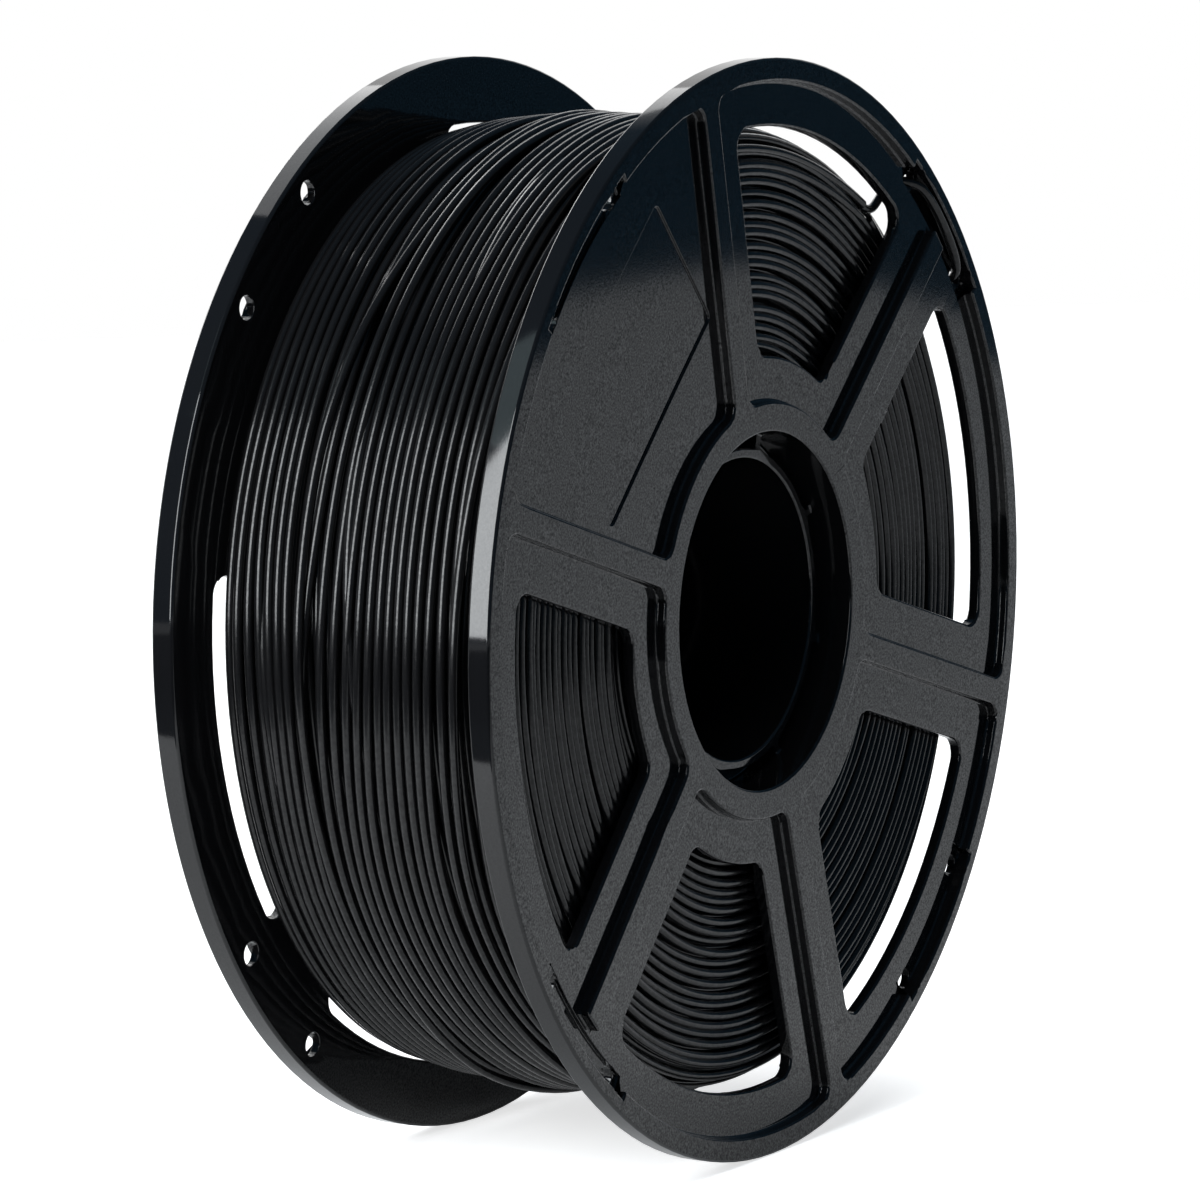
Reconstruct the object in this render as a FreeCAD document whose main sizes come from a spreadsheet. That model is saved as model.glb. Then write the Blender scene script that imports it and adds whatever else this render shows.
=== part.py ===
import FreeCAD, Part
import math
import os
import Sketcher

# Filament spool, about 1 kg, in millimetres.
# The spindle runs along Y, the labelled side faces -Y and +Z is up.
# The origin is on the spindle axis, half way between the two faces.

Vector = FreeCAD.Vector

doc = FreeCAD.newDocument("FilamentSpool")
sheet = doc.addObject("Spreadsheet::Sheet", "Sizes")

drivingSizes = [
    ("flangeDiameter", 200.0),
    ("spoolWidth", 68.0),
    ("rimBand", 4.2),
    ("rimChamfer", 1.2),
    ("dish", 1.7),
    ("ledgeDepth", 2.0),
    ("plateThickness", 2.4),
    ("outerLedge", 8.1),
    ("innerLedge", 8.2),
    ("hubRing", 5.5),
    ("counterboreDiameter", 65.2),
    ("counterboreDepth", 12.0),
    ("webThickness", 2.0),
    ("tubeRecess", 7.5),
    ("spindleBore", 55.0),
    ("tubeWall", 2.0),
    ("hubWall", 2.0),
    ("barrelDiameter", 86.0),
    ("barrelWall", 2.4),
    ("sectorCount", 6),
    ("panelAngle", 135.0),
    ("spokeBar", 5.3),
    ("spokeLedge", 8.6),
    ("recessCorner", 3.0),
    ("windowCorner", 3.5),
    ("labelLength", 49.4),
    ("labelHeight", 29.4),
    ("labelInset", 14.4),
    ("labelDepth", 0.4),
    ("labelCorner", 1.5),
    ("ribCount", 8),
    ("ribThickness", 1.6),
    ("ribRecess", 0.8),
    ("ribAngle", 30.0),
    ("channelCount", 4),
    ("channelAngle", 45.0),
    ("channelSpan", 20.8),
    ("channelRelief", 1.5),
    ("channelReach", 2.6),
    ("channelDepth", 0.8),
    ("barStop", 3.6),
    ("tieHole", 4.4),
    ("tieSpread", 16.6),
    ("filamentDiameter", 1.75),
    ("windingShortfall", 10.5),
    ("windingCrown", 4.5),
    ("windingTurns", 20),
    ("windingSides", 4),
    ("windingClearance", 0.3),
    ("tailSides", 6),
    ("tailStartAngle", 58.5),
    ("tailBend", 3.6),
    ("tailReach", 4.2),
]


class Measure:
    # A number that remembers the sheet expression it comes from.

    def __init__(self, value, text):
        self.value = value
        self.text = text

    def join(self, other, sign, value):
        return Measure(value, "(%s %s %s)" % (self.text, sign, wording(other)))

    def __add__(self, other):
        return self.join(other, "+", self.value + plain(other))

    def __sub__(self, other):
        return self.join(other, "-", self.value - plain(other))

    def __mul__(self, other):
        return self.join(other, "*", self.value * plain(other))

    def __truediv__(self, other):
        return self.join(other, "/", self.value / plain(other))

    def __rsub__(self, other):
        return Measure(other - self.value, "(%s - %s)" % (other, self.text))

    def __rtruediv__(self, other):
        return Measure(other / self.value, "(%s / %s)" % (other, self.text))


def plain(measure):
    return measure.value if isinstance(measure, Measure) else measure


def wording(measure):
    return measure.text if isinstance(measure, Measure) else "(%s)" % measure


def fillSheet():
    # Each row holds a name in column A and its number, with an alias, in column B.
    for row, (alias, number) in enumerate(drivingSizes, 1):
        sheet.set("A%d" % row, alias)
        sheet.set("B%d" % row, str(number))
        sheet.setAlias("B%d" % row, alias)
    doc.recompute()


def size(alias):
    return Measure(float(sheet.get(alias)), "Sizes." + alias)


def bind(item, path, measure):
    item.setExpression(path, wording(measure))


fillSheet()

flangeRadius = size("flangeDiameter") / 2
halfWidth = size("spoolWidth") / 2
rimInner = flangeRadius - size("rimBand")
flangeThickness = size("ledgeDepth") + size("plateThickness")
counterboreRadius = size("counterboreDiameter") / 2
hubRingRadius = counterboreRadius + size("hubRing")
windowOuter = rimInner - size("outerLedge")
windowInner = hubRingRadius + size("innerLedge")
boreRadius = size("spindleBore") / 2
tubeOuter = boreRadius + size("tubeWall")
hubOuter = counterboreRadius + size("hubWall")
barrelRadius = size("barrelDiameter") / 2
barrelInner = barrelRadius - size("barrelWall")
sectorAngle = 360 / size("sectorCount")
tieRadius = rimInner - (size("channelReach") - size("channelRelief")) / 2

filamentRadius = size("filamentDiameter") / 2
windingRadius = flangeRadius - size("windingShortfall")
windingEdge = windingRadius - size("windingCrown")


def sink(radius):
    # How far the dished face lies below the rim at a distance from the spindle.
    return size("dish") * (rimInner - radius) / (rimInner - counterboreRadius)


def roomHalf(radius):
    # Half of the width between the flanges that filament may take up at a distance from the spindle.
    return halfWidth - flangeThickness - sink(radius) - size("windingClearance")


windingHalf = roomHalf(windingEdge)


def originPlane(body, role):
    return next(item for item in body.Origin.OriginFeatures if item.Role == role)


def newSketch(body, name, role):
    sketch = body.newObject("Sketcher::SketchObject", name)
    sketch.AttachmentSupport = [(originPlane(body, role), "")]
    sketch.MapMode = "FlatFace"
    return sketch


def faceSketch(body, name, depth, turn, side):
    # A sketch parallel to the flange, sunk below its outer face, with its own Y axis turned from X.
    sketch = newSketch(body, name, "XZ_Plane")
    height = (halfWidth - depth) * (-side)
    spin = turn - 90
    sketch.AttachmentOffset = FreeCAD.Placement(
        Vector(0, 0, height.value), FreeCAD.Rotation(Vector(0, 0, 1), plain(spin))
    )
    bind(sketch, "AttachmentOffset.Base.z", height)
    bind(sketch, "AttachmentOffset.Rotation.Angle", spin)
    return sketch


def constrain(sketch, kind, *arguments):
    measure = arguments[-1]
    if isinstance(measure, Measure):
        number = math.radians(measure.value) if kind == "Angle" else measure.value
        index = sketch.addConstraint(Sketcher.Constraint(kind, *arguments[:-1], number))
        bind(sketch, "Constraints[%d]" % index, measure)
    else:
        sketch.addConstraint(Sketcher.Constraint(kind, *arguments))


def placePoint(sketch, edge, end, x, y):
    constrain(sketch, "DistanceX", -1, 1, edge, end, x)
    constrain(sketch, "DistanceY", -1, 1, edge, end, y)


def closedOutline(sketch, corners):
    # A polygon whose corners are each placed by two measures.
    points = [Vector(x.value, y.value, 0) for x, y in corners]
    for index, point in enumerate(points):
        sketch.addGeometry(Part.LineSegment(point, points[(index + 1) % len(points)]), False)
    for index, (x, y) in enumerate(corners):
        constrain(sketch, "Coincident", index - 1 if index else len(corners) - 1, 2, index, 1)
        placePoint(sketch, index, 1, x, y)


def boxOutline(sketch, right, low, high):
    # A rectangle that is even about the sketch's Y axis.
    left = right * -1
    closedOutline(sketch, [(left, low), (right, low), (right, high), (left, high)])


def sectorOutline(sketch, inner, outer, span):
    # A ring sector about the sketch's Y axis, its sides on two rays from the spindle.
    half = math.radians(span.value / 2)

    def sidePoint(radius, sign):
        return Vector(sign * radius * math.sin(half), radius * math.cos(half), 0)

    def ringArc(radius):
        start = sidePoint(radius, 1)
        stop = sidePoint(radius, -1)
        circle = Part.Circle(Vector(0, 0, 0), Vector(0, 0, 1), radius)
        return Part.ArcOfCircle(circle, math.atan2(start.y, start.x), math.atan2(stop.y, stop.x))

    outerArc = sketch.addGeometry(ringArc(outer.value), False)
    innerArc = sketch.addGeometry(ringArc(inner.value), False)
    rightSide = sketch.addGeometry(
        Part.LineSegment(sidePoint(inner.value, 1), sidePoint(outer.value, 1)), False
    )
    leftSide = sketch.addGeometry(
        Part.LineSegment(sidePoint(inner.value, -1), sidePoint(outer.value, -1)), False
    )
    for arc, radius in ((outerArc, outer), (innerArc, inner)):
        constrain(sketch, "Coincident", arc, 3, -1, 1)
        constrain(sketch, "Radius", arc, radius)
    constrain(sketch, "Coincident", rightSide, 1, innerArc, 1)
    constrain(sketch, "Coincident", rightSide, 2, outerArc, 1)
    constrain(sketch, "Coincident", leftSide, 1, innerArc, 2)
    constrain(sketch, "Coincident", leftSide, 2, outerArc, 2)
    constrain(sketch, "Angle", rightSide, 90 - span / 2)
    constrain(sketch, "Angle", leftSide, span / 2 + 90)
    constrain(sketch, "PointOnObject", -1, 1, rightSide)
    constrain(sketch, "PointOnObject", -1, 1, leftSide)


def cutPocket(body, name, sketch, side, depth=None):
    pocket = body.newObject("PartDesign::Pocket", name)
    pocket.Profile = sketch
    pocket.Reversed = side > 0
    if depth is None:
        pocket.Type = "ThroughAll"
    else:
        pocket.Type = "Length"
        bind(pocket, "Length", depth)
    return pocket


def spread(body, name, feature, sketch, copies, angle):
    # Copies of a feature about the spindle axis.
    pattern = body.newObject("PartDesign::PolarPattern", name)
    pattern.Originals = [feature]
    pattern.Axis = (sketch, ["N_Axis"])
    bind(pattern, "Angle", angle)
    bind(pattern, "Occurrences", copies)
    body.Tip = pattern
    return pattern


def axialEdges(shape, length, radii):
    # Names of the straight edges along Y with this length, at one of these distances from the axis.
    names = []
    for index, edge in enumerate(shape.Edges, 1):
        if not isinstance(edge.Curve, Part.Line) or abs(edge.Length - length) > 0.01:
            continue
        point = edge.Vertexes[0].Point
        along = edge.Vertexes[1].Point - point
        distance = math.hypot(point.x, point.z)
        if abs(along.y) > 0.999 * length and min(abs(distance - radius) for radius in radii) < 0.01:
            names.append("Edge%d" % index)
    return names


def roundCorners(body, name, base, length, radii, corner):
    doc.recompute()
    fillet = body.newObject("PartDesign::Fillet", name)
    distances = [plain(radius) for radius in radii]
    fillet.Base = (base, axialEdges(base.Shape, length.value, distances))
    bind(fillet, "Radius", corner)
    body.Tip = fillet
    doc.recompute()
    return fillet


def flangeProfile(side):
    # Half section through the axis: dished disc, barrel, hub wall, web and spindle tube.
    face = halfWidth * side
    chamfer = size("rimChamfer")
    back = (halfWidth - flangeThickness) * side
    floor = (halfWidth - size("counterboreDepth")) * side
    underWeb = (halfWidth - size("counterboreDepth") - size("webThickness")) * side
    tubeEnd = (halfWidth - size("tubeRecess")) * side
    middle = Measure(0.0, "0")
    return [
        (counterboreRadius, face - sink(counterboreRadius) * side),
        (rimInner, face),
        (flangeRadius - chamfer, face),
        (flangeRadius, face - chamfer * side),
        (flangeRadius, back + chamfer * side),
        (flangeRadius - chamfer, back),
        (rimInner, back),
        (barrelRadius, back - sink(barrelRadius) * side),
        (barrelRadius, middle),
        (barrelInner, middle),
        (barrelInner, back - sink(barrelInner) * side),
        (hubOuter, back - sink(hubOuter) * side),
        (hubOuter, underWeb),
        (tubeOuter, underWeb),
        (tubeOuter, middle),
        (boreRadius, middle),
        (boreRadius, tubeEnd),
        (tubeOuter, tubeEnd),
        (tubeOuter, floor),
        (counterboreRadius, floor),
    ]


def dishedBand(body, name, side, inner, outer, floorDepth, height):
    # A ring that follows the dished face, from a depth below it upwards.
    section = newSketch(body, name + "Section", "XY_Plane")
    low = halfWidth - floorDepth
    corners = []
    for radius, lift in ((inner, 0), (outer, 0), (outer, height), (inner, height)):
        corners.append((radius, (low - sink(radius) + lift) * side))
    closedOutline(section, corners)
    band = body.newObject("PartDesign::Revolution", name + "Band")
    band.Profile = section
    band.ReferenceAxis = (section, ["V_Axis"])
    band.Angle = 360.0
    return band


def newBody(name):
    body = doc.addObject("PartDesign::Body", name)
    body.Label = name
    return body


def combine(body, name, tool, kind):
    # Cuts the tool body from this one, or keeps what they share.
    step = body.newObject("PartDesign::Boolean", name)
    step.Type = kind
    step.setObjects([tool])
    body.Tip = step
    return step


def cutBars(body, name, side, depth, width, low, high, stoppedHigh):
    # Takes the spokes, as opposite pairs of bars, out of a ring of waste. The first pair may stop short.
    spokeAngle = size("panelAngle") - sectorAngle / 2
    for index in range(int(size("sectorCount").value) // 2):
        turn = spokeAngle + sectorAngle * (index - 1)
        sketch = faceSketch(body, "%sBarSketch%d" % (name, index), depth, turn, side)
        boxOutline(sketch, width / 2, low, high if index else stoppedHigh)
        bar = cutPocket(body, "%sBar%d" % (name, index), sketch, side)
        bars = spread(body, "%sBars%d" % (name, index), bar, sketch, 2, 360)
    return bars


def buildRecesses(name, side):
    # What is taken out between the rim, the hub ring and the spokes.
    body = newBody(name + "RecessTool")
    height = size("ledgeDepth") * 2
    dishedBand(body, name + "Recess", side, hubRingRadius, rimInner, size("ledgeDepth"), height)
    low = hubRingRadius - size("spokeBar")
    stop = rimInner - size("barStop")
    bars = cutBars(body, name, side, height * -1, size("spokeBar"), low, flangeRadius, stop)
    rings = [hubRingRadius, rimInner]
    roundCorners(body, name + "RecessCorners", bars, height, rings, size("recessCorner"))
    return body


def buildWindows(name, side):
    # What is taken out of every sector but the one with the label, right through the plate.
    body = newBody(name + "WindowTool")
    section = newSketch(body, name + "WindowSection", "XY_Plane")
    outside = halfWidth * side
    inside = (halfWidth - flangeThickness * 2) * side
    corners = [(windowInner, inside), (windowOuter, inside), (windowOuter, outside), (windowInner, outside)]
    closedOutline(section, corners)
    ring = body.newObject("PartDesign::Revolution", name + "WindowRing")
    ring.Profile = section
    ring.ReferenceAxis = (section, ["V_Axis"])
    ring.Angle = 360.0
    width = size("spokeBar") + size("spokeLedge") * 2
    low = windowInner - size("spokeBar")
    bars = cutBars(body, name + "Window", side, 0, width, low, flangeRadius, flangeRadius)
    rings = [windowInner, windowOuter]
    height = flangeThickness * 2
    roundCorners(body, name + "WindowCorners", bars, height, rings, size("windowCorner"))
    sketch = faceSketch(body, name + "PanelSketch", 0, size("panelAngle"), side)
    sectorOutline(sketch, hubRingRadius, flangeRadius, sectorAngle)
    cutPocket(body, name + "Panel", sketch, side)
    return body


def buildLabelField(name, side):
    # What is taken out of the panel as a shallow field for a label.
    body = newBody(name + "LabelTool")
    depth = size("ledgeDepth") + size("labelDepth")
    sketch = faceSketch(body, name + "LabelSketch", size("ledgeDepth") * -1, size("panelAngle"), side)
    high = rimInner - size("labelInset")
    low = high - size("labelHeight")
    right = size("labelLength") / 2
    boxOutline(sketch, right, low, high)
    block = body.newObject("PartDesign::Pad", name + "LabelBlock")
    block.Profile = sketch
    block.Reversed = side < 0
    reach = depth * 2 + size("dish")
    bind(block, "Length", reach)
    body.Tip = block
    corners = [math.hypot(right.value, low.value), math.hypot(right.value, high.value)]
    roundCorners(body, name + "LabelCorners", block, reach, corners, size("labelCorner"))
    band = newBody(name + "LabelRing")
    dishedBand(band, name + "Label", side, hubRingRadius, rimInner, depth, size("ledgeDepth"))
    combine(body, name + "LabelField", band, "Common")
    return body


def buildFlange(name, side):
    # One moulded half: side is -1 for the labelled front and +1 for the rear.
    recesses = buildRecesses(name, side)
    labelField = buildLabelField(name, side)
    windows = buildWindows(name, side)
    body = newBody(name)

    section = newSketch(body, name + "Section", "XY_Plane")
    closedOutline(section, flangeProfile(side))
    disc = body.newObject("PartDesign::Revolution", name + "Disc")
    disc.Profile = section
    disc.ReferenceAxis = (section, ["V_Axis"])
    disc.Angle = 360.0
    combine(body, name + "Recesses", recesses, "Cut")
    combine(body, name + "LabelCut", labelField, "Cut")
    combine(body, name + "Windows", windows, "Cut")

    # Channels at the rim, where a filament end is tucked away, with a hole at each end.
    channelAngle = size("channelAngle")
    channelFloor = size("ledgeDepth") + size("channelDepth")
    sketch = faceSketch(body, name + "ChannelSketch", 0, channelAngle, side)
    low = rimInner - size("channelReach")
    high = rimInner + size("channelRelief")
    sectorOutline(sketch, low, high, size("channelSpan"))
    channel = cutPocket(body, name + "Channel", sketch, side, channelFloor)
    spread(body, name + "Channels", channel, sketch, size("channelCount"), 360)

    sketch = faceSketch(body, name + "TieSketch", 0, channelAngle, side)
    for sign in (-1, 1):
        lean = math.radians(sign * size("tieSpread").value / 2)
        centre = Vector(tieRadius.value * math.sin(lean), tieRadius.value * math.cos(lean), 0)
        circle = sketch.addGeometry(
            Part.Circle(centre, Vector(0, 0, 1), size("tieHole").value / 2), False
        )
        ray = sketch.addGeometry(Part.LineSegment(Vector(0, 0, 0), centre), True)
        constrain(sketch, "Coincident", ray, 1, -1, 1)
        constrain(sketch, "Coincident", ray, 2, circle, 3)
        constrain(sketch, "Distance", ray, tieRadius)
        constrain(sketch, "Angle", ray, size("tieSpread") / 2 * (-sign) + 90)
        constrain(sketch, "Radius", circle, size("tieHole") / 2)
    tie = cutPocket(body, name + "Tie", sketch, side)
    spread(body, name + "Ties", tie, sketch, size("channelCount"), 360)

    # Short ribs between the spindle tube and the hub wall.
    sketch = faceSketch(body, name + "RibSketch", size("counterboreDepth"), size("ribAngle"), side)
    low = boreRadius + size("tubeWall") / 2
    high = counterboreRadius + size("hubWall") / 2
    boxOutline(sketch, size("ribThickness") / 2, low, high)
    rib = body.newObject("PartDesign::Pad", name + "Rib")
    rib.Profile = sketch
    rib.Reversed = side > 0
    bind(rib, "Length", size("counterboreDepth") - size("tubeRecess") - size("ribRecess"))
    spread(body, name + "Ribs", rib, sketch, size("ribCount"), 360)
    return body


def windingHeight(y):
    # Radius of the crowned outside of the winding at a place along the spindle.
    crown = size("windingCrown").value
    half = windingHalf.value
    bend = (half**2 + crown**2) / (2 * crown)
    return windingRadius.value - bend + math.sqrt(bend**2 - y**2)


def buildCore():
    # All the inner layers as one ring, tapered at both ends, that stays under the crowned outer layer.
    body = newBody("filament_core")
    sketch = newSketch(body, "CoreSection", "XY_Plane")
    under = size("filamentDiameter") + size("windingClearance") / 2
    inner = barrelRadius + size("windingClearance")
    edge = windingEdge - under
    shoulder = windingRadius - under - size("windingCrown") / 4
    half = roomHalf(inner)
    corners = [(inner, half * -1), (edge, windingHalf * -1), (shoulder, windingHalf / -2)]
    corners += [(shoulder, windingHalf / 2), (edge, windingHalf), (inner, half)]
    closedOutline(sketch, corners)
    ring = body.newObject("PartDesign::Revolution", "CoreRing")
    ring.Profile = sketch
    ring.ReferenceAxis = (sketch, ["V_Axis"])
    ring.Angle = 360.0
    return body


def onCylinder(angle, radius, y):
    turn = math.radians(angle)
    return Vector(radius * math.cos(turn), y, radius * math.sin(turn))


def biarc(start, startWay, stop, stopWay):
    # Two arcs that leave start and reach stop along the given directions.
    span = stop - start
    both = startWay + stopWay
    square = 2 * (1 - startWay.dot(stopWay))
    linear = 2 * span.dot(both)
    reach = (-linear + math.sqrt(linear**2 + 4 * square * span.dot(span))) / (2 * square)
    join = (start + stop + (startWay - stopWay) * reach) * 0.5
    return [tangentArc(start, startWay, join), tangentArc(stop, stopWay * -1, join, True)]


def tangentArc(start, way, stop, backward=False):
    # The arc from start to stop that leaves start along way.
    chord = stop - start
    normal = way.cross(chord).cross(way).normalize()
    radius = chord.dot(chord) / (2 * chord.dot(normal))
    centre = start + normal * radius
    middle = centre + ((start - centre) + (stop - centre)).normalize() * radius
    if backward:
        return Part.Arc(stop, middle, start)
    return Part.Arc(start, middle, stop)


def sweepTube(curves, sides, diameter):
    # A faceted tube of the given diameter across its corners along a row of tangent curves.
    wire = Part.Wire([curve.toShape() for curve in curves])
    first = curves[0]
    start = first.value(first.FirstParameter)
    way = first.tangent(first.FirstParameter)[0]
    outward = Vector(start.x, 0, start.z).normalize()
    outward = (outward - way * outward.dot(way)).normalize()
    across = way.cross(outward)
    corners = []
    for index in range(sides + 1):
        turn = 2 * math.pi * (index % sides) / sides
        corners.append(start + (outward * math.cos(turn) + across * math.sin(turn)) * (diameter / 2))
    shell = Part.BRepOffsetAPI.MakePipeShell(wire)
    shell.add(Part.makePolygon(corners))
    shell.build()
    shell.makeSolid()
    solid = shell.shape()
    section = sides / 2 * math.sin(2 * math.pi / sides) * (diameter / 2) ** 2
    return solid, section * wire.Length


def windingCurves():
    # One layer of turns from the rear flange to the front one, as half-turn biarcs.
    turns = int(size("windingTurns").value)
    radius = filamentRadius.value
    reach = windingHalf.value - 2 * radius
    stopAngle = size("tailStartAngle").value
    steps = 2 * turns

    def place(step):
        y = reach - 2 * reach * step / steps
        angle = stopAngle + 180.0 * (steps - step)
        return onCylinder(angle, windingHeight(y) - radius, y)

    def direction(step):
        small = 0.001
        return (place(step + small) - place(step - small)).normalize()

    curves = []
    for step in range(steps):
        curves += biarc(place(step), direction(step), place(step + 1), direction(step + 1))
    lead = size("filamentDiameter").value
    first = Part.LineSegment(place(0) - direction(0) * lead, place(0))
    last = Part.LineSegment(place(steps), place(steps) + direction(steps) * lead)
    return [first] + curves + [last]


def leastGap(curves):
    # Least distance between the surfaces of neighbouring turns, on points along the centre line.
    perCurve = 16
    points = []
    for curve in curves[1:-1]:
        low = curve.FirstParameter
        high = curve.LastParameter
        points += [curve.value(low + (high - low) * index / perCurve) for index in range(perCurve)]
    turn = 4 * perCurve
    nearest = min(
        points[index].distanceToPoint(points[other])
        for index in range(len(points) - turn // 2)
        for other in range(index + turn // 2, min(index + 3 * turn // 2, len(points)))
    )
    return nearest - size("filamentDiameter").value


def buildOuterLayer():
    layer = doc.addObject("Part::Feature", "filament_winding")
    layer.Label = "filament_winding"
    curves = windingCurves()
    sides = int(size("windingSides").value)
    solid, expected = sweepTube(curves, sides, size("filamentDiameter").value)
    layer.Shape = solid
    print("winding: volume %.0f, section times length %.0f" % (solid.Volume, expected))
    print("winding: least gap between turns %.2f mm" % leastGap(curves))
    return layer


def roundedRoute(points):
    # Straight runs joined by tangent arcs, each as large as its two runs allow.
    shares = 0.45
    curves = []
    start = points[0]
    radii = []
    for before, point, after in zip(points, points[1:], points[2:]):
        intoWay = (point - before).normalize()
        outWay = (after - point).normalize()
        turn = intoWay.getAngle(outWay)
        cut = shares * min((point - before).Length, (after - point).Length)
        arcStart = point - intoWay * cut
        arcStop = point + outWay * cut
        curves.append(Part.LineSegment(start, arcStart))
        curves.append(tangentArc(arcStart, intoWay, arcStop))
        radii.append(cut / math.tan(turn / 2))
        start = arcStop
    curves.append(Part.LineSegment(start, points[-1]))
    print("tail: least bend radius %.1f mm" % min(radii))
    return curves


def buildTail():
    # The free end turns off the last turn, out through a tie hole, along the channel and in again.
    tail = doc.addObject("Part::Feature", "filament_tail")
    tail.Label = "filament_tail"
    wire = windingCurves()[-1]
    begin = wire.value(wire.LastParameter)
    way = wire.tangent(wire.LastParameter)[0]
    width = size("filamentDiameter").value
    clearance = size("windingClearance").value
    bend = size("tailBend").value
    reach = size("tailReach").value
    face = -halfWidth.value
    inside = face + flangeThickness.value + clearance
    within = face + flangeThickness.value / 2
    lying = face + filamentRadius.value + clearance / 3
    rise = tieRadius.value
    seam = width / 80

    def place(hole, travel, lift, y):
        # A point some way along the rim from one of the two holes, 1 and -1, or from their middle, 0.
        angle = size("channelAngle").value + hole * size("tieSpread").value / 2
        return onCylinder(angle + math.degrees(travel / rise), rise + lift, y)

    points = [
        begin + way * seam,
        begin + way * (2 * width),
        place(1, bend / 2, -bend, begin.y - clearance),
        place(1, width, -width / 2, inside),
        place(1, -width / 2, width / 8, within),
        place(1, -reach, width / 2, lying),
        place(0, 0, width / 2, lying - clearance / 3),
        place(-1, reach, width / 4, lying),
        place(-1, width / 3, 0, within),
        place(-1, -width / 6, 0, inside),
    ]
    sides = int(size("tailSides").value)
    solid, expected = sweepTube(roundedRoute(points), sides, width)
    tail.Shape = solid
    print("tail: volume %.1f, section times length %.1f" % (solid.Volume, expected))
    return tail


parts = [
    buildFlange("front_flange", -1),
    buildFlange("rear_flange", 1),
    buildCore(),
    buildOuterLayer(),
    buildTail(),
]
doc.recompute()

for item in doc.Objects:
    if "Invalid" in item.State or "Error" in item.State:
        raise RuntimeError("%s failed to compute: %s" % (item.Label, item.State))
for part in parts:
    if part.Shape.isNull() or not part.Shape.isValid():
        raise RuntimeError("%s has no valid shape" % part.Label)

os.makedirs("parts", exist_ok=True)
for part in parts:
    part.Shape.exportStep("parts/%s.step" % part.Label)
    print("%s: %d solid, %.0f mm3" % (part.Label, len(part.Shape.Solids), part.Shape.Volume))
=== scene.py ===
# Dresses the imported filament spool: satin black moulded flanges and a full winding of black filament.
import math

import bmesh
import bpy
import numpy as np
from mathutils import Matrix, Vector


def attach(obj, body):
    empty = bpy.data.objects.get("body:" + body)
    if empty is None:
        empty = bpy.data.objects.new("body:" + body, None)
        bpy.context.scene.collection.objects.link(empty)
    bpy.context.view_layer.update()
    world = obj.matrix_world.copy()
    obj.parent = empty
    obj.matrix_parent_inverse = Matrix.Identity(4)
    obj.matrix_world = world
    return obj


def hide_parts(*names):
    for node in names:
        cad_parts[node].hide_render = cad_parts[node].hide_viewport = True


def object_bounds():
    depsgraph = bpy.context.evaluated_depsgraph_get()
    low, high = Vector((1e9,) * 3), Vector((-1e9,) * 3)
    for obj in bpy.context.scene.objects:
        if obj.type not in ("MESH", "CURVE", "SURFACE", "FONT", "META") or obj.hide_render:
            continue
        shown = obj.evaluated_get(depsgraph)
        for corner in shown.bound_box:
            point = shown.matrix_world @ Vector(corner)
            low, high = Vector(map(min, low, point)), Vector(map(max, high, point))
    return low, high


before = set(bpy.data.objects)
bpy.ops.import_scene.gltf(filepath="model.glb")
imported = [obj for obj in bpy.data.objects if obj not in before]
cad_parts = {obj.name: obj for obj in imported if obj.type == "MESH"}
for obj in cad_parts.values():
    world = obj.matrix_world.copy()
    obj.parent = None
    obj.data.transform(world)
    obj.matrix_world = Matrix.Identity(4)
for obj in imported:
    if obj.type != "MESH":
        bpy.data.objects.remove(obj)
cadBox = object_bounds()
mm = 0.001

# The camera stands where the photograph was taken from, fitted to its outlines.
view = {
    "azimuth": -59.725,
    "elevation": 6.172,
    "distance": 991.0,  # mm from the middle of the spool
    "scale": 5.420,  # pixels for each mm at that distance, in a picture 1200 wide
    "picture": 1200.0,
    "right": -2.665,  # mm from the middle of the spool
    "up": 0.268,
    "sensor": 36.0,
    "nearest": 0.01,  # m
    "farthest": 60.0,
}


def placeCamera():
    azimuth = math.radians(view["azimuth"])
    elevation = math.radians(view["elevation"])
    level = math.cos(elevation)
    back = Vector((math.sin(azimuth) * level, -math.cos(azimuth) * level, math.sin(elevation)))
    right = (-back).cross(Vector((0, 0, 1))).normalized()
    up = right.cross(-back)
    place = back * view["distance"] + right * view["right"] + up * view["up"]
    turn = Matrix((right, up, back)).transposed().to_4x4()
    camera = bpy.data.objects.new("camera", bpy.data.cameras.new("camera"))
    camera.matrix_world = Matrix.Translation(place * mm) @ turn
    camera.data.sensor_width = view["sensor"]
    camera.data.lens = view["sensor"] * view["scale"] * view["distance"] / view["picture"]
    camera.data.clip_start = view["nearest"]
    camera.data.clip_end = view["farthest"]
    bpy.context.scene.collection.objects.link(camera)
    bpy.context.scene.camera = camera


placeCamera()
print("camera placed")


def mathNode(nodes, operation, second=None):
    node = nodes.new("ShaderNodeMath")
    node.operation = operation
    if second is not None:
        node.inputs[1].default_value = second
    return node


def newGroup(name, inputs, outputs):
    # inputs and outputs give each socket's name and kind.
    group = bpy.data.node_groups.new(name, "ShaderNodeTree")
    for way, sockets in (("INPUT", inputs), ("OUTPUT", outputs)):
        for label, kind in sockets.items():
            group.interface.new_socket(name=label, in_out=way, socket_type="NodeSocket" + kind)
    return group, group.nodes.new("NodeGroupInput"), group.nodes.new("NodeGroupOutput")


grainNoise = {
    "fineDetail": 2.0,
    "flowDetail": 3.0,
    "middle": 0.5,  # what the noise varies about
}


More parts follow.
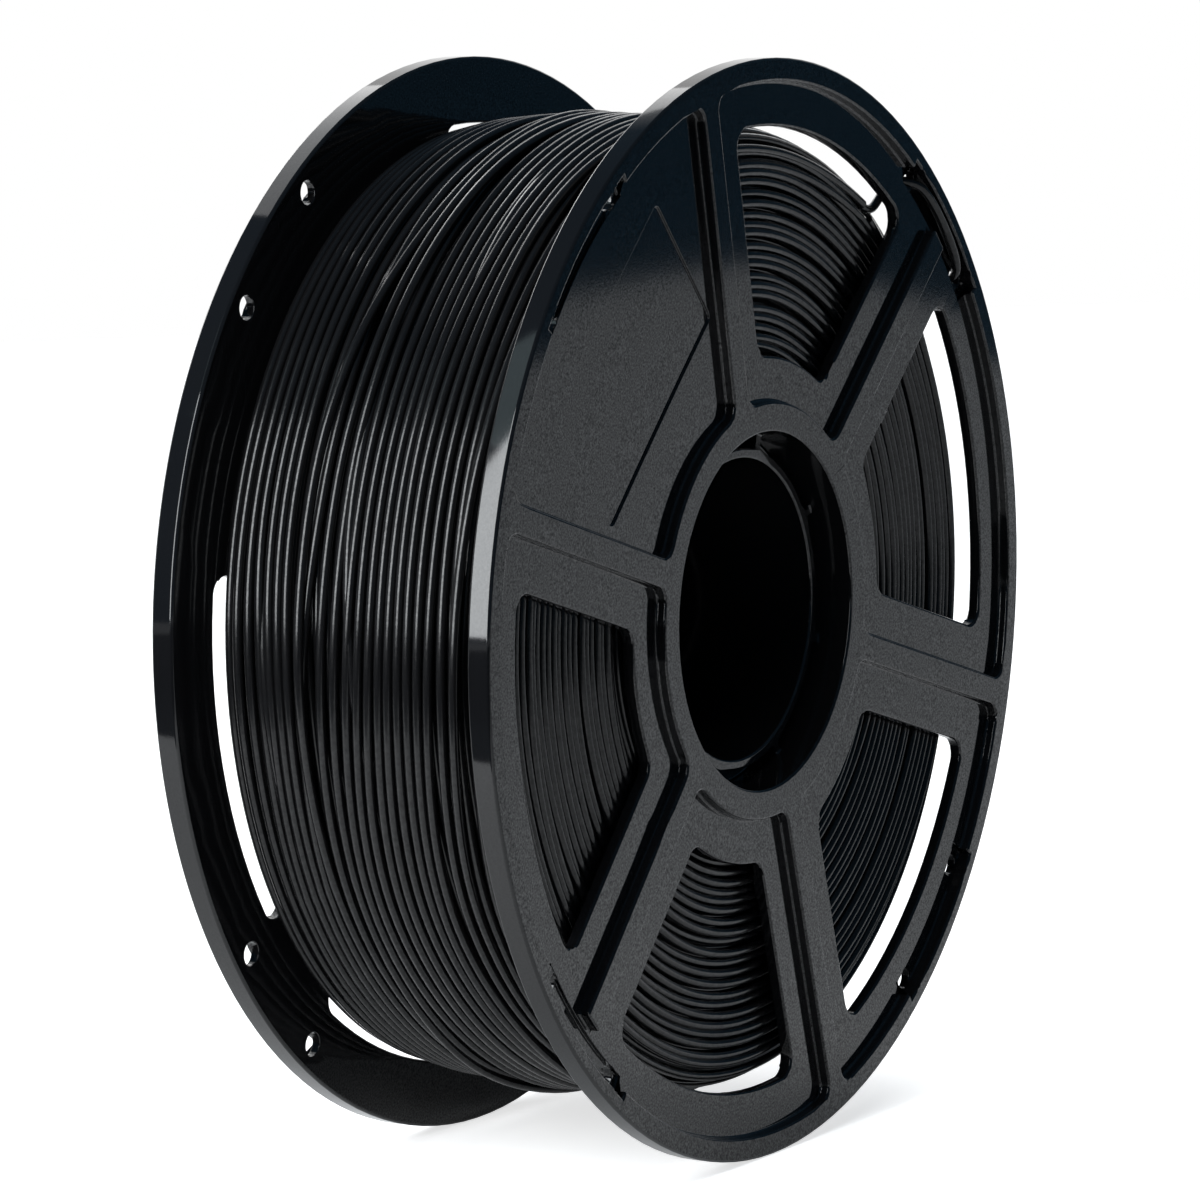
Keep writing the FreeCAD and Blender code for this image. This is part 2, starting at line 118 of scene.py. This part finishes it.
def makeMouldGrain():
    # Fine texture of moulded plastic, with faint flow marks that change its roughness and colour.
    group, entry, leave = newGroup(
        "mouldGrain",
        {
            "Vector": "Vector",
            "Grain": "Float",
            "Flow": "Float",
            "Base Roughness": "Float",
            "Spread": "Float",
            "Base Gloss": "Float",
            "Speckle": "Float",
        },
        {"Roughness": "Float", "Gloss": "Float", "Height": "Float", "Mask": "Float"},
    )
    link = group.links.new

    def noise(scale, detail):
        node = group.nodes.new("ShaderNodeTexNoise")
        node.inputs["Detail"].default_value = detail
        link(entry.outputs["Vector"], node.inputs["Vector"])
        link(entry.outputs[scale], node.inputs["Scale"])
        return node.outputs["Fac"]

    def vary(source, base, amount):
        # A base value that goes up and down with the noise.
        centre = mathNode(group.nodes, "SUBTRACT", grainNoise["middle"])
        link(source, centre.inputs[0])
        widen = mathNode(group.nodes, "MULTIPLY_ADD")
        link(centre.outputs[0], widen.inputs[0])
        link(entry.outputs[amount], widen.inputs[1])
        link(entry.outputs[base], widen.inputs[2])
        return widen.outputs[0]

    fine = noise("Grain", grainNoise["fineDetail"])
    flow = noise("Flow", grainNoise["flowDetail"])
    link(vary(flow, "Base Roughness", "Spread"), leave.inputs["Roughness"])
    link(vary(fine, "Base Gloss", "Speckle"), leave.inputs["Gloss"])
    link(fine, leave.inputs["Height"])
    link(flow, leave.inputs["Mask"])
    return group


mouldGrain = makeMouldGrain()
# Which value of a look goes to which socket.
grainSockets = {
    "Grain": "grain",
    "Flow": "flow",
    "Base Roughness": "roughness",
    "Spread": "spread",
    "Base Gloss": "gloss",
    "Speckle": "speckle",
}
shaderSockets = {
    "IOR": "ior",
    "Specular IOR Level": "underGloss",
    "Coat IOR": "ior",
    "Coat Roughness": "topRoughness",
}


def polishBand(nodes, link, where, grain, look):
    # The rim's outer band comes from a polished part of the mould, so the speckle fades out there.
    flat = nodes.new("ShaderNodeVectorMath")
    flat.operation = "MULTIPLY"
    flat.inputs[1].default_value = (1, 0, 1)
    link(where.outputs["Object"], flat.inputs[0])
    radius = nodes.new("ShaderNodeVectorMath")
    radius.operation = "LENGTH"
    link(flat.outputs["Vector"], radius.inputs[0])
    fade = nodes.new("ShaderNodeMapRange")
    fade.inputs["From Min"].default_value = look["polishStarts"] * mm
    fade.inputs["From Max"].default_value = look["polished"] * mm
    fade.inputs["To Min"].default_value = look["speckle"]
    fade.inputs["To Max"].default_value = look["polishedSpeckle"]
    link(radius.outputs["Value"], fade.inputs["Value"])
    link(fade.outputs["Result"], grain.inputs["Speckle"])


def plasticMaterial(name, look):
    material = bpy.data.materials.new(name)
    material.use_nodes = True
    nodes = material.node_tree.nodes
    link = material.node_tree.links.new
    shader = nodes["Principled BSDF"]
    where = nodes.new("ShaderNodeTexCoord")
    grain = nodes.new("ShaderNodeGroup")
    grain.node_tree = mouldGrain
    for socket, value in grainSockets.items():
        grain.inputs[socket].default_value = look[value]
    for socket, value in shaderSockets.items():
        shader.inputs[socket].default_value = look[value]
    if "polished" in look:
        polishBand(nodes, link, where, grain, look)
    link(where.outputs["Object"], grain.inputs["Vector"])
    link(grain.outputs["Roughness"], shader.inputs["Roughness"])
    link(grain.outputs["Gloss"], shader.inputs["Coat Weight"])
    tone = nodes.new("ShaderNodeMix")
    tone.data_type = "RGBA"
    tone.inputs[6].default_value = (*look["dark"], 1)  # the node's first colour
    tone.inputs[7].default_value = (*look["light"], 1)  # and its second
    link(grain.outputs["Mask"], tone.inputs[0])
    link(tone.outputs[2], shader.inputs["Base Color"])
    bump = nodes.new("ShaderNodeBump")
    bump.inputs["Strength"].default_value = look["bump"]
    bump.inputs["Distance"].default_value = look["depth"]
    link(grain.outputs["Height"], bump.inputs["Height"])
    link(bump.outputs["Normal"], shader.inputs["Normal"])
    return material


flangeLook = {
    "dark": (0.0025, 0.0026, 0.003),
    "light": (0.004, 0.0041, 0.0046),
    "grain": 2600.0,
    "flow": 20.0,
    "roughness": 0.05,
    "spread": 0.02,
    "underGloss": 0.11,
    "topRoughness": 0.06,
    "gloss": 0.52,  # weight of the moulded skin, which carries the speckle
    "speckle": 2.35,
    "polishStarts": 99.4,  # mm from the spindle's axis
    "polished": 99.7,
    "polishedSpeckle": 0.3,
    "bump": 1.0,
    "depth": 0.000003,  # m
    "ior": 1.5,
}
filamentLook = {
    "dark": (0.0025, 0.0025, 0.0028),
    "light": (0.0045, 0.0045, 0.0048),
    "grain": 1500.0,
    "flow": 60.0,
    "roughness": 0.19,
    "spread": 0.08,
    "underGloss": 0.13,
    "topRoughness": 0.19,
    "gloss": 0.4,
    "speckle": 0.8,
    "bump": 0.12,
    "depth": 0.00003,  # m
    "ior": 1.46,
}
flangePlastic = plasticMaterial("flangePlastic", flangeLook)
filamentPlastic = plasticMaterial("filamentPlastic", filamentLook)
print("plastics mixed")


def addPiece(name, mesh, material, nodes):
    piece = bpy.data.objects.new(name, mesh)
    bpy.context.scene.collection.objects.link(piece)
    piece.data.materials.clear()
    piece.data.materials.append(material)
    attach(piece, "root")
    if nodes:
        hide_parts(*nodes)
    return piece


flangeFinish = {
    "edgeRound": 0.5,  # mm
    "slightRound": 0.16,  # mm, on edges that have less room
    "room": 1.0,  # mm of face that the larger rounding needs on each side
    "segments": 3,
    "sharpEdge": 25.0,  # degrees between faces
    "seam": 0.1,  # mm on each side of the middle, where the halves meet
    "tieRadius": 95.25,  # mm from the spindle's axis to the small holes at the rim
    "tieAngles": [36.7, 53.3, 126.7, 143.3, 216.7, 233.3, 306.7, 323.3],  # degrees from the top
    "tieReach": 2.5,  # mm
    "rimRadius": 100.0,  # mm
    "rimChamfer": 1.2,  # mm, as packed
    "rimEdge": 0.4,  # mm, what is left of the chamfer
    "rimNear": 0.05,  # mm within which a point lies on the rim or its chamfer
    "dish": 1.7 / 63.2,  # slope of the dished faces
    "leastDished": 0.5,  # share of that slope below which a face is flat
    "mostDished": 2.0,  # and above which it isn't a broad face
    "belongs": 28.0,  # degrees within which a rounding takes its broad face's direction
    "blends": 50.0,  # degrees within which faces are shaded as one
    "flat": 0.02,  # degrees between facets of one face
    "merge": 0.002,  # mm
}


def tightenRim(form):
    # Makes the chamfers at both edges of the rim smaller, so that its outer band is broader.
    radius = flangeFinish["rimRadius"]
    chamfer = flangeFinish["rimChamfer"]
    near = flangeFinish["rimNear"]
    shift = chamfer - flangeFinish["rimEdge"]
    outer = [vert for vert in form.verts if math.hypot(vert.co.x, vert.co.z) > (radius - near) * mm]
    middle = sum(vert.co.y for vert in outer) / len(outer)
    inner = radius - chamfer
    for vert in form.verts:
        if abs(math.hypot(vert.co.x, vert.co.z) - inner * mm) < near * mm:
            vert.co.x *= (inner + shift) / inner
            vert.co.z *= (inner + shift) / inner
    for vert in outer:
        vert.co.y += math.copysign(shift * mm, vert.co.y - middle)


def roomBeside(edge):
    # How far the narrower of an edge's two faces reaches away from it.
    start = edge.verts[0].co
    way = (edge.verts[1].co - start).normalized()
    return min(max((vert.co - start).cross(way).length for vert in face.verts) for face in edge.link_faces)


def onSeam(edge):
    # Whether an edge lies where the two halves meet.
    return max(abs(vert.co.y) for vert in edge.verts) < flangeFinish["seam"] * mm


def atTie(edge):
    # Whether an edge belongs to one of the small holes for the filament's end.
    for angle in flangeFinish["tieAngles"]:
        turn = math.radians(angle)
        middle = Vector((math.sin(turn), math.cos(turn))) * flangeFinish["tieRadius"] * mm
        if all((vert.co.xz - middle).length < flangeFinish["tieReach"] * mm for vert in edge.verts):
            return True
    return False


def roundEdges(form, edges, width):
    bmesh.ops.bevel(
        form,
        geom=edges,
        offset=width * mm,
        offset_type="OFFSET",
        affect="EDGES",
        segments=flangeFinish["segments"],
        profile=0.5,
        clamp_overlap=False,
        loop_slide=True,
        material=-1,
    )


def broadDirection(face, place):
    # The exact direction of a flat or dished broad face at one place, or nothing for other faces.
    dish = flangeFinish["dish"]
    lean = math.hypot(face.normal.x, face.normal.z)
    if lean > flangeFinish["mostDished"] * dish:
        return None
    straight = Vector((0, math.copysign(1, face.normal.y), 0))
    if lean < flangeFinish["leastDished"] * dish:
        return straight
    out = Vector((place.x, 0, place.z)).normalized()
    middle = face.calc_center_median()
    if face.normal.dot(Vector((middle.x, 0, middle.z))) < 0:
        out = -out
    return (out * dish + straight).normalized()


def cornerDirections(form):
    # Shading directions for every corner of every face, so that broad faces mirror without ripples.
    belongs = math.cos(math.radians(flangeFinish["belongs"]))
    blends = math.cos(math.radians(flangeFinish["blends"]))
    directions = []
    for face in form.faces:
        for corner in face.loops:
            vert = corner.vert
            chosen = None
            for other in vert.link_faces:
                broad = broadDirection(other, vert.co)
                if broad is not None and broad.dot(face.normal) > belongs:
                    chosen = broad
            if chosen is None:
                chosen = Vector((0, 0, 0))
                for other in vert.link_faces:
                    if other.normal.dot(face.normal) > blends:
                        chosen += other.normal * other.calc_area()
                chosen.normalize()
            directions.append(chosen)
    return directions


def dressFlange(node, name):
    # The moulded half with its edges rounded and its broad faces kept flat.
    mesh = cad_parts[node].data.copy()
    form = bmesh.new()
    form.from_mesh(mesh)
    bmesh.ops.remove_doubles(form, verts=form.verts, dist=flangeFinish["merge"] * mm)
    tightenRim(form)
    flat = math.radians(flangeFinish["flat"])
    bmesh.ops.dissolve_limit(form, angle_limit=flat, verts=form.verts, edges=form.edges)
    sharp = math.radians(flangeFinish["sharpEdge"])
    corners = [edge for edge in form.edges if edge.is_manifold and edge.calc_face_angle(0) > sharp]
    corners = [edge for edge in corners if not onSeam(edge)]
    room = flangeFinish["room"] * mm
    roomy = [edge for edge in corners if roomBeside(edge) > room and not atTie(edge)]
    ends = {vert for edge in roomy for vert in edge.verts}
    tight = [edge for edge in corners if ends.isdisjoint(edge.verts)]
    print(name, "edges rounded", len(roomy), "and slightly", len(tight), "of", len(corners))
    roundEdges(form, tight, flangeFinish["slightRound"])
    roundEdges(form, roomy, flangeFinish["edgeRound"])
    form.normal_update()
    for face in form.faces:
        face.smooth = True
    directions = cornerDirections(form)
    form.to_mesh(mesh)
    form.free()
    addPiece(name, mesh, flangePlastic, [node])
    mesh.normals_split_custom_set(directions)


dressFlange("front_flange", "front_flange_moulded")
dressFlange("rear_flange", "rear_flange_moulded")
print("flanges dressed")

winding = {
    "filament": 1.75,  # mm
    "barrel": 43.3,  # mm from the spindle's axis to the first strands
    "rimHalf": 29.3,  # mm from the middle to the winding's side, at the rim's inner edge
    "rimInner": 95.8,
    "dish": 1.7 / 63.2,  # how much closer the sides come for each mm nearer the spindle
    "half": 28.9,  # mm from the middle to the outermost strands
    "steps": 144,  # points in a turn
    "roundness": 2,
    "startAngle": 58.5,  # degrees, where the free end leaves the last turn
    "looseKnots": 7,  # places in a turn between which the gaps widen and narrow
    "bridged": 4,  # times that short dips are filled
    "smoothed": 6,  # and times that the strands are then smoothed
}
# Radius of the winding's outside at places along the spindle, front to rear.
crownPlaces = [-29.0, -27.0, -24.0, -20.0, -12.0, -4.0, 5.0, 12.0, 19.0, 24.0, 29.0]
crownRadii = [84.0, 85.4, 87.2, 88.4, 89.2, 89.6, 89.8, 89.5, 88.9, 88.0, 86.4]
# Each layer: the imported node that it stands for, its turns, how unevenly they lie, which way they lean,
# how many neighbours swap, and how many mm below the crown its strands lie where nothing lifts them.
layers = [
    {"name": "filament_layer_inner", "nodes": ["filament_core"], "turns": 30, "clumping": 0.5,
     "lean": 1, "crossings": 0, "rest": 3.1, "seed": 5},
    {"name": "filament_layer_under", "nodes": [], "turns": 28, "clumping": 0.9,
     "lean": -1, "crossings": 6, "rest": 1.75, "seed": 8},
    {"name": "filament_layer_outer", "nodes": ["filament_winding"], "turns": 26, "clumping": 1.5,
     "lean": 1, "crossings": 14, "rest": 0.5, "seed": 31},
]
# Where neighbours swap, as shares of a turn.
swaps = {
    "start": (0.02, 0.3),
    "reach": (0.22, 0.45),
    "ease": (0.12, 0.2),
    "widest": 3.2,  # mm between neighbours that may still swap
    "calmTurns": 7,  # last turns of a layer, which don't swap
}


def crown(place):
    return np.interp(place, crownPlaces, crownRadii)


def roomAt(radius):
    # Half of the width that the dished flanges leave for filament.
    return winding["rimHalf"] - winding["dish"] * (winding["rimInner"] - radius)


def smoothStep(share):
    share = np.clip(share, 0.0, 1.0)
    return share * share * (3 - 2 * share)


def closedNoise(count, knots, rng):
    # Random values at a few knots, joined smoothly into a closed row.
    values = rng.normal(0.0, 1.0, knots)
    places = np.arange(count) * knots / count
    low = np.floor(places).astype(int)
    share = smoothStep(places - low)
    return values[low % knots] * (1 - share) + values[(low + 1) % knots] * share


def layTurns(layer, rng):
    # Places along the spindle of the points of one unbroken layer, a row for each turn.
    steps = winding["steps"]
    turns = layer["turns"]
    width = winding["filament"]
    reach = winding["half"] - width / 2
    loose = np.array([closedNoise(steps, winding["looseKnots"], rng) for turn in range(turns + 1)])
    loose = np.exp(layer["clumping"] * loose)
    spare = 2 * reach - turns * width
    gaps = width + spare * loose / loose[:turns].sum(axis=0)
    edges = np.vstack([np.zeros(steps), np.cumsum(gaps, axis=0)])
    share = np.arange(steps) / steps
    places = edges[:turns] + gaps[:turns] * share - reach
    return places if layer["lean"] > 0 else -places


def crossOver(places, layer, rng):
    # Lets some neighbours swap for part of a turn. The one that crosses rides over the other.
    steps = winding["steps"]
    width = winding["filament"]
    angle = np.arange(steps) / steps
    lift = np.zeros_like(places)
    for crossing in range(layer["crossings"]):
        turn = int(rng.integers(1, layer["turns"] - swaps["calmTurns"]))
        start = rng.uniform(*swaps["start"])
        stop = start + rng.uniform(*swaps["reach"])
        ease = rng.uniform(*swaps["ease"])
        swap = smoothStep((angle - start) / ease) - smoothStep((angle - stop) / ease)
        apart = places[turn + 1] - places[turn]
        if apart.max() > swaps["widest"]:
            continue
        places[turn] += apart * swap
        places[turn + 1] -= apart * swap
        now = places[turn + 1] - places[turn]
        lift[turn] = np.maximum(lift[turn], np.sqrt(np.clip(width**2 - now**2, 0, None)))
    return lift


def restOn(places, lower, lowerRadii, base):
    # Radius at which each point of a layer lies on the strands of the layer below.
    width = winding["filament"]
    gap = np.abs(places[:, None, :] - lower[None, :, :])
    climb = np.sqrt(np.clip(width**2 - gap**2, 0, None))
    reach = np.where(gap < width, lowerRadii[None, :, :] + climb, 0)
    return np.maximum(reach.max(axis=1), base)


def easeAlong(radii):
    # Filament bridges short dips, because it is stiff.
    flat = radii.reshape(-1)
    for turn in range(winding["bridged"]):
        flat = np.maximum(flat, (np.roll(flat, 2) + np.roll(flat, -2)) / 2)
    for turn in range(winding["smoothed"]):
        flat = flat / 2 + (np.roll(flat, 1) + np.roll(flat, -1)) / 4
    return flat.reshape(radii.shape)


def newTube(name, roundness, smoothness):
    # An empty curve that is as thick as filament.
    data = bpy.data.curves.new(name, "CURVE")
    data.dimensions = "3D"
    data.bevel_depth = winding["filament"] / 2 * mm
    data.bevel_resolution = roundness
    data.resolution_u = smoothness
    data.use_fill_caps = True
    return data


def tubePiece(name, data, replaced):
    # Makes the curve a mesh, and adds that as a piece.
    holder = bpy.data.objects.new(name + "Curve", data)
    bpy.context.scene.collection.objects.link(holder)
    bpy.context.view_layer.update()
    mesh = bpy.data.meshes.new_from_object(holder)
    mesh.name = name
    bpy.data.objects.remove(holder)
    bpy.data.curves.remove(data)
    for face in mesh.polygons:
        face.use_smooth = True
    addPiece(name, mesh, filamentPlastic, replaced)


def strandPiece(name, rows, replaced, closed):
    # Rows of angle, radius and place along the spindle, swept as round filament.
    data = newTube(name, winding["roundness"], 1)
    for angle, radius, place in rows:
        spline = data.splines.new("POLY")
        spline.points.add(len(angle) - 1)
        x = radius * np.cos(angle) * mm
        z = radius * np.sin(angle) * mm
        flat = np.stack([x, place * mm, z, np.ones_like(x)], axis=1)
        spline.points.foreach_set("co", flat.reshape(-1).astype(np.float32))
        spline.use_cyclic_u = closed
    tubePiece(name, data, replaced)


def windLayers():
    # Each layer lies on the one before it.
    lower = None
    width = winding["filament"]
    for layer in layers:
        rng = np.random.default_rng(layer["seed"])
        places = layTurns(layer, rng)
        lift = crossOver(places, layer, rng)
        base = crown(places) - width / 2 - layer["rest"]
        radii = base if lower is None else restOn(places, *lower, base)
        radii = easeAlong(radii + lift)
        angle = np.arange(layer["turns"] * winding["steps"]) * 2 * np.pi / winding["steps"]
        angle += math.radians(winding["startAngle"])
        rows = [(angle, radii.reshape(-1), places.reshape(-1))]
        strandPiece(layer["name"], rows, layer["nodes"], False)
        high = float((radii + width / 2 - crown(places)).max())
        print(layer["name"], "stands above the crown by at most", round(high, 2), "mm")
        lower = (places, radii - lift)


windLayers()

sideRows = {
    "step": 1.83,  # mm between strands
    "stepSpread": 0.05,
    "deep": 2,  # strands behind each other
    "outermost": 84.5,  # mm from the spindle's axis
    "insetSpread": 0.3,  # mm by which whole strands lie deeper
    "sway": 0.32,  # mm by which a strand goes in and out
    "swayKnots": 6,
    "rise": 0.2,  # mm by which it goes up and down
    "riseKnots": 8,
    "seed": 23,
}


def windSide(name, side):
    # The ends of all the layers, as the windows show them.
    rng = np.random.default_rng(sideRows["seed"] + side)
    steps = winding["steps"]
    width = winding["filament"]
    angle = np.arange(steps) * 2 * np.pi / steps
    radius = winding["barrel"] + width / 2
    rows = []
    while radius < sideRows["outermost"]:
        inset = abs(rng.normal(0.0, sideRows["insetSpread"]))
        for row in range(sideRows["deep"]):
            sway = np.abs(sideRows["sway"] * closedNoise(steps, sideRows["swayKnots"], rng))
            rise = sideRows["rise"] * closedNoise(steps, sideRows["riseKnots"], rng)
            place = roomAt(radius) - width / 2 - inset - sway - row * width
            shift = width / 2 * (row % 2)
            rows.append((angle, radius + shift + rise, side * place))
        radius += sideRows["step"] + rng.normal(0.0, sideRows["stepSpread"])
    strandPiece(name, rows, [], True)


windSide("filament_side_front", -1)
windSide("filament_side_rear", 1)

filling = {
    "outer": 84.0,  # mm from the spindle's axis
    "depth": 3.0,  # mm behind the winding's sides
    "sides": 96,
    "merge": 0.002,  # mm
}


def fillCore():
    # All the filament that the outer strands hide.
    form = bmesh.new()
    inner = winding["barrel"]
    outer = filling["outer"]
    depth = filling["depth"]
    corners = [
        (inner, depth - roomAt(inner)),
        (outer, depth - roomAt(outer)),
        (outer, roomAt(outer) - depth),
        (inner, roomAt(inner) - depth),
    ]
    ring = [form.verts.new((radius * mm, place * mm, 0)) for radius, place in corners]
    edges = [form.edges.new((ring[index - 1], ring[index])) for index in range(len(ring))]
    bmesh.ops.spin(
        form,
        geom=ring + edges,
        cent=(0, 0, 0),
        axis=(0, 1, 0),
        angle=2 * math.pi,
        steps=filling["sides"],
        use_merge=True,
    )
    bmesh.ops.remove_doubles(form, verts=form.verts, dist=filling["merge"] * mm)
    bmesh.ops.recalc_face_normals(form, faces=form.faces)
    mesh = bpy.data.meshes.new("filament_inner")
    form.to_mesh(mesh)
    form.free()
    addPiece("filament_inner", mesh, filamentPlastic, [])


fillCore()
print("winding laid")

# Angle in degrees, radius and place along the spindle of the free end, in mm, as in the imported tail.
tailRoute = [
    (59.0, 84.7, -27.3),
    (55.6, 84.9, -27.4),
    (54.4, 91.6, -27.7),
    (54.3, 94.4, -29.3),
    (52.8, 95.5, -31.8),
    (50.8, 96.1, -33.0),
    (45.0, 96.2, -33.1),
    (39.2, 95.8, -33.0),
    (37.0, 95.3, -31.8),
    (36.5, 95.2, -29.3),
]
tailTube = {
    "roundness": 4,
    "smoothness": 10,
    "order": 3,
}


def layTail():
    data = newTube("filament_free_end", tailTube["roundness"], tailTube["smoothness"])
    spline = data.splines.new("NURBS")
    spline.points.add(len(tailRoute) - 1)
    for point, (angle, radius, place) in zip(spline.points, tailRoute):
        turn = math.radians(angle)
        point.co = (radius * math.cos(turn) * mm, place * mm, radius * math.sin(turn) * mm, 1)
    spline.order_u = tailTube["order"]
    spline.use_endpoint_u = True
    tubePiece("filament_free_end", data, ["filament_tail"])


layTail()
print("free end laid")

studio = {
    "floorReach": 2.3,  # m from the spool to the floor's edge
    "floorTurn": -28.0,  # degrees
    "floorTone": 0.7,
    "floorLift": 0.7,  # what the camera sees on top of the floor's own colour
    "floorMirrored": 0.05,  # the same in reflections
    "ceiling": (0.03, 0.07, 0.11),
    "behind": (0.6, 0.8, -0.5),  # towards the white that reflections show
    "behindStarts": 0.3,
    "behindFull": 0.55,
    "discSides": 64,
}
# A dark card lies beside the spool as painted shade, which only reflections show on the floor there, and a
# round dark disc closes the back of its bore as painted shade in the bore, also blocking light from
# behind. The camera sees neither.
cards = {
    # painted shade: a dark card seen only in reflections, darkening the floor they show beside the spool;
    # it throws no shadow
    "sideShadeCard": {"place": (-0.96, -0.35, -0.099), "turn": (0, 0, 0), "reach": (1.4, 2.2), "shades": False,
                 "colour": (0.02, 0.026, 0.03)},
    # painted shade: a dark disc inside the bore's rear end that makes the bore dark and blocks the lamps'
    # light there
    "boreShadeDisc": {"place": (0, 0.0305, 0), "turn": (math.pi / 2, 0, 0), "reach": (0.032,),
                 "shades": True, "colour": (0.002, 0.002, 0.002)},
}


def mirroredRays(nodes, link):
    # Which rays are the camera's, and which come from reflections or through glass.
    path = nodes.new("ShaderNodeLightPath")
    mirrored = mathNode(nodes, "MAXIMUM")
    link(path.outputs["Is Glossy Ray"], mirrored.inputs[0])
    link(path.outputs["Is Transmission Ray"], mirrored.inputs[1])
    return path.outputs["Is Camera Ray"], mirrored.outputs[0]


def layPlane(name, reach, material):
    # Two sizes make a rectangle, and one radius makes a disc.
    form = bmesh.new()
    if len(reach) == 1:
        bmesh.ops.create_circle(form, cap_ends=True, segments=studio["discSides"], radius=reach[0])
    else:
        bmesh.ops.create_grid(form, x_segments=1, y_segments=1, size=0.5)
        bmesh.ops.scale(form, vec=(reach[0], reach[1], 1), verts=form.verts)
    mesh = bpy.data.meshes.new(name)
    form.to_mesh(mesh)
    form.free()
    plane = bpy.data.objects.new(name, mesh)
    plane.data.materials.append(material)
    bpy.context.scene.collection.objects.link(plane)
    return plane


def mattMaterial(name, colour):
    material = bpy.data.materials.new(name)
    material.use_nodes = True
    shader = material.node_tree.nodes["Principled BSDF"]
    shader.inputs["Base Color"].default_value = (*colour, 1)
    shader.inputs["Roughness"].default_value = 1.0
    shader.inputs["Specular IOR Level"].default_value = 0.0
    return material, shader


def makeFloor():
    material, shader = mattMaterial("paleFloor", [studio["floorTone"]] * 3)
    shader.inputs["Emission Color"].default_value = (1, 1, 1, 1)
    nodes = material.node_tree.nodes
    link = material.node_tree.links.new
    camera, mirrored = mirroredRays(nodes, link)
    lift = mathNode(nodes, "MULTIPLY", studio["floorLift"])
    link(camera, lift.inputs[0])
    both = mathNode(nodes, "MULTIPLY_ADD", studio["floorMirrored"])
    link(mirrored, both.inputs[0])
    link(lift.outputs[0], both.inputs[2])
    link(both.outputs[0], shader.inputs["Emission Strength"])
    reach = 2 * studio["floorReach"]
    floor = layPlane("floor", (reach, reach), material)
    floor.location.z = cadBox[0][2]
    floor.rotation_euler.z = math.radians(studio["floorTurn"])


def layCards():
    for name, card in cards.items():
        material, shader = mattMaterial(name, card["colour"])
        plane = layPlane(name, card["reach"], material)
        plane.location = card["place"]
        plane.rotation_euler = card["turn"]
        plane.visible_camera = False
        plane.visible_shadow = card["shades"]


makeFloor()
layCards()
print("floor and cards laid")


def makeWorld():
    # White behind the spool, also in reflections, and a dark blue room on the other sides.
    world = bpy.data.worlds.new("studioWorld")
    bpy.context.scene.world = world
    world.use_nodes = True
    nodes = world.node_tree.nodes
    link = world.node_tree.links.new
    nodes.clear()
    leave = nodes.new("ShaderNodeOutputWorld")
    white = nodes.new("ShaderNodeBackground")
    white.inputs["Color"].default_value = (1, 1, 1, 1)
    dark = nodes.new("ShaderNodeBackground")
    dark.inputs["Color"].default_value = (*studio["ceiling"], 1)
    where = nodes.new("ShaderNodeTexCoord")
    facing = nodes.new("ShaderNodeVectorMath")
    facing.operation = "DOT_PRODUCT"
    facing.inputs[1].default_value = studio["behind"]
    link(where.outputs["Generated"], facing.inputs[0])
    behind = nodes.new("ShaderNodeMapRange")
    behind.inputs["From Min"].default_value = studio["behindStarts"]
    behind.inputs["From Max"].default_value = studio["behindFull"]
    link(facing.outputs["Value"], behind.inputs["Value"])
    camera, mirrored = mirroredRays(nodes, link)
    shown = mathNode(nodes, "MULTIPLY_ADD")
    link(mirrored, shown.inputs[0])
    link(behind.outputs["Result"], shown.inputs[1])
    link(camera, shown.inputs[2])
    mix = nodes.new("ShaderNodeMixShader")
    link(shown.outputs[0], mix.inputs["Fac"])
    link(dark.outputs[0], mix.inputs[1])
    link(white.outputs[0], mix.inputs[2])
    link(mix.outputs[0], leave.inputs["Surface"])


makeWorld()

# Soft boxes: place and aim in m, width and height in m, watts and colour.
boxLamps = {
    "sideBox": {"place": (-0.37, 0.05, 0.14), "aim": (-0.05, 0.05, 0.11), "reach": (0.24, 0.29),
                "watts": 2.75, "colour": (0.95, 0.98, 1.0)},
    "upperBox": {"place": (-0.38, 0.205, 0.375), "aim": (-0.08, 0, 0.04), "reach": (0.14, 0.2),
                 "watts": 0.1, "colour": (0.77, 0.97, 1.0)},
    "backBox": {"place": (0.3, 0.85, 0.5), "aim": (0, 0, 0.05), "reach": (0.6, 0.45),
                "watts": 4.0, "colour": (1, 1, 1)},
    "topBox": {"place": (0.225, 0.455, 0.51), "aim": (0.225, 0.455, 0), "reach": (0.57, 0.35),
               "watts": 1.05, "colour": (1, 1, 1)},
}
overhead = {
    "strength": 2.0,
    "spread": 50.0,  # degrees
}


def addLamps():
    for name, lamp in boxLamps.items():
        data = bpy.data.lights.new(name, "AREA")
        data.shape = "RECTANGLE"
        data.size, data.size_y = lamp["reach"]
        data.energy = lamp["watts"]
        data.color = lamp["colour"]
        item = bpy.data.objects.new(name, data)
        item.location = lamp["place"]
        way = Vector(lamp["aim"]) - Vector(lamp["place"])
        item.rotation_euler = way.to_track_quat("-Z", "Y").to_euler()
        bpy.context.scene.collection.objects.link(item)
    data = bpy.data.lights.new("overhead", "SUN")
    data.energy = overhead["strength"]
    data.angle = math.radians(overhead["spread"])
    item = bpy.data.objects.new("overhead", data)
    item.visible_glossy = False
    bpy.context.scene.collection.objects.link(item)


addLamps()
bpy.context.scene.view_settings.view_transform = "Standard"
print("studio set")
